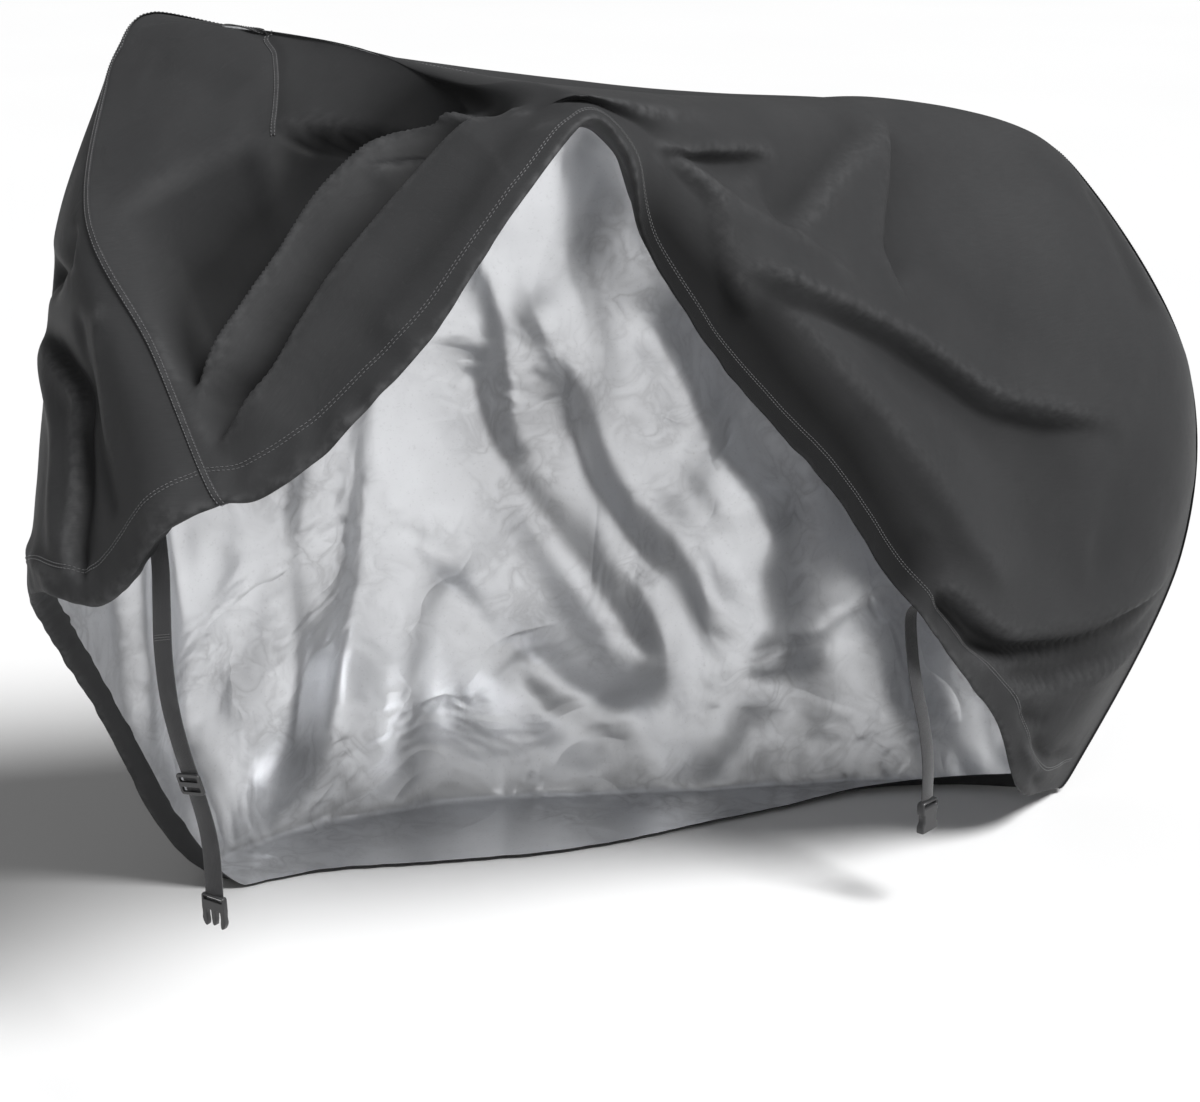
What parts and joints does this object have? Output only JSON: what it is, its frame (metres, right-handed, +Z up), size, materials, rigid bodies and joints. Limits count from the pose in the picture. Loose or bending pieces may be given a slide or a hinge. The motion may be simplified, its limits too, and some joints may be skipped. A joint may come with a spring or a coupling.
{
  "type": "bicycle cover",
  "caption": "Fitted waterproof cloth cover in its draped shape, near side pulled up into a peaked opening, silver inside, with clip straps at the hem",
  "frame": {"origin": "just under the cloth at the middle of the top seam, where what the cover is drawn over holds it up", "axes": "+Z up, +X along the cover to its rear, -Y to the near side that is pulled up. The floor is 1.020 m below the origin"},
  "size_m": [1.7866, 0.8497, 1.1258],
  "materials": {
    "cover_cloth": "charcoal plain-woven polyester outside, silver coating inside",
    "webbing": "flat black polypropylene webbing",
    "clip_plastic": "moulded black acetal, satin"
  },
  "bodies": {
    "root": {"near_panel": "cover_cloth", "far_panel": "cover_cloth", "front_strap": "webbing", "front_slider": "clip_plastic", "front_prong": "clip_plastic", "rear_strap": "webbing", "rear_socket": "clip_plastic"}
  },
  "joints": []
}
